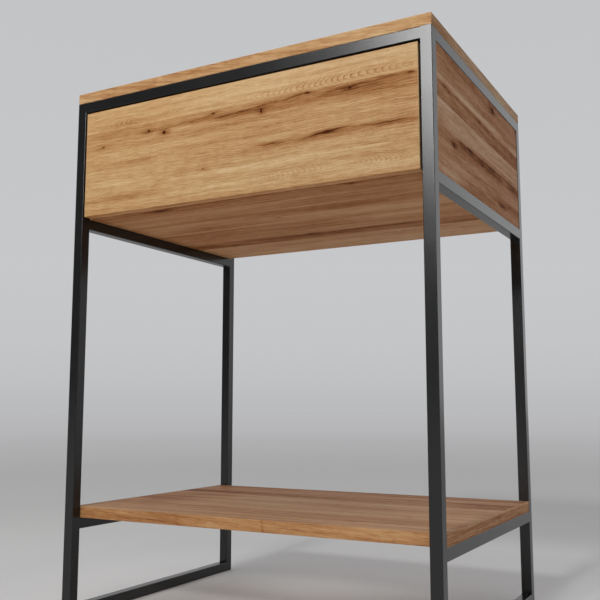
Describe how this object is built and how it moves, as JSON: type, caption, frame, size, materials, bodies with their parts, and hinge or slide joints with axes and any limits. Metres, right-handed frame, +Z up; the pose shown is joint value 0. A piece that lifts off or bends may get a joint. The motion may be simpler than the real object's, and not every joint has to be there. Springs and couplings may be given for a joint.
{
  "type": "side table with drawer",
  "caption": "Side table on a slim square-tube steel frame with a wooden top, an open lower shelf and a box holding one handleless full-extension drawer.",
  "frame": {"origin": "on the floor, under the centre of the table", "axes": "+X to the right seen from the front, +Y to the back, +Z up; the drawer opens towards -Y"},
  "size_m": [0.55, 0.4, 0.747],
  "materials": {
    "frame_steel": "satin black powder coat",
    "oak": "matt oak with knots and cracks",
    "drawer_board": "pale matt board",
    "hardboard": "smooth brown hardboard",
    "zinc_steel": "zinc plated",
    "cage_steel": "plain pressed steel",
    "ball_steel": "polished",
    "latch_body": "matt grey",
    "latch_tip": "matt light grey"
  },
  "bodies": {
    "table": {"angle_screws": "zinc_steel", "back_screws": "zinc_steel", "box_angle_left": "zinc_steel", "box_angle_right": "zinc_steel", "box_back": "oak", "box_bottom": "oak", "box_rail_left": "frame_steel", "box_rail_right": "frame_steel", "floor_rail_left": "frame_steel", "floor_rail_right": "frame_steel", "latch_housing": "latch_body", "latch_screws": "zinc_steel", "leg_back_left": "frame_steel", "leg_back_right": "frame_steel", "leg_front_left": "frame_steel", "leg_front_right": "frame_steel", "panel_plates": "frame_steel", "panel_screws": "zinc_steel", "shelf_board": "oak", "shelf_rail_left": "frame_steel", "shelf_rail_right": "frame_steel", "shelf_screws": "zinc_steel", "shelf_tabs": "frame_steel", "side_panel_left": "oak", "side_panel_right": "oak", "slide_cabinet_member_left": "zinc_steel", "slide_cabinet_member_right": "zinc_steel", "slide_cabinet_screws": "zinc_steel", "top_panel": "oak", "top_rail_back": "frame_steel", "top_rail_front": "frame_steel", "top_rail_left": "frame_steel", "top_rail_right": "frame_steel", "top_screws": "zinc_steel", "top_tabs": "frame_steel"},
    "drawer": {"drawer_back": "drawer_board", "drawer_bottom": "hardboard", "drawer_box_front": "drawer_board", "drawer_corner_screws": "zinc_steel", "drawer_front": "oak", "drawer_front_screws": "zinc_steel", "drawer_side_left": "drawer_board", "drawer_side_right": "drawer_board", "slide_drawer_member_left": "zinc_steel", "slide_drawer_member_right": "zinc_steel", "slide_drawer_screws": "zinc_steel"},
    "inner_cage_left": {"ball_cage_inner_left": "cage_steel", "balls_inner_left": "ball_steel"},
    "inner_cage_right": {"ball_cage_inner_right": "cage_steel", "balls_inner_right": "ball_steel"},
    "outer_cage_left": {"ball_cage_outer_left": "cage_steel", "balls_outer_left": "ball_steel"},
    "outer_cage_right": {"ball_cage_outer_right": "cage_steel", "balls_outer_right": "ball_steel"},
    "latch_plunger": {"latch_plunger": "latch_tip"},
    "middle_left": {"slide_middle_member_left": "zinc_steel"},
    "middle_right": {"slide_middle_member_right": "zinc_steel"}
  },
  "joints": [
    {"name": "drawer_slide", "type": "slide", "parent": "table", "child": "drawer", "axis": [0, -1, 0], "range_m": [0, 0.3]},
    {"name": "outer_cage_left_slide", "type": "slide", "parent": "table", "child": "outer_cage_left", "axis": [0, -1, 0], "range_m": [0, 0.075]},
    {"name": "middle_left_slide", "type": "slide", "parent": "table", "child": "middle_left", "axis": [0, -1, 0], "range_m": [0, 0.15]},
    {"name": "inner_cage_left_slide", "type": "slide", "parent": "table", "child": "inner_cage_left", "axis": [0, -1, 0], "range_m": [0, 0.225]},
    {"name": "outer_cage_right_slide", "type": "slide", "parent": "table", "child": "outer_cage_right", "axis": [0, -1, 0], "range_m": [0, 0.075]},
    {"name": "middle_right_slide", "type": "slide", "parent": "table", "child": "middle_right", "axis": [0, -1, 0], "range_m": [0, 0.15]},
    {"name": "inner_cage_right_slide", "type": "slide", "parent": "table", "child": "inner_cage_right", "axis": [0, -1, 0], "range_m": [0, 0.225]},
    {"name": "latch_press", "type": "slide", "parent": "table", "child": "latch_plunger", "axis": [0, 1, 0], "range_m": [0, 0.002], "stiffness_N_per_m": 600, "springref_m": -0.002}
  ],
  "couplings": [
    {"joint": "outer_cage_left_slide", "follows": "drawer_slide", "ratio": 0.25},
    {"joint": "middle_left_slide", "follows": "drawer_slide", "ratio": 0.5},
    {"joint": "inner_cage_left_slide", "follows": "drawer_slide", "ratio": 0.75},
    {"joint": "outer_cage_right_slide", "follows": "drawer_slide", "ratio": 0.25},
    {"joint": "middle_right_slide", "follows": "drawer_slide", "ratio": 0.5},
    {"joint": "inner_cage_right_slide", "follows": "drawer_slide", "ratio": 0.75}
  ]
}
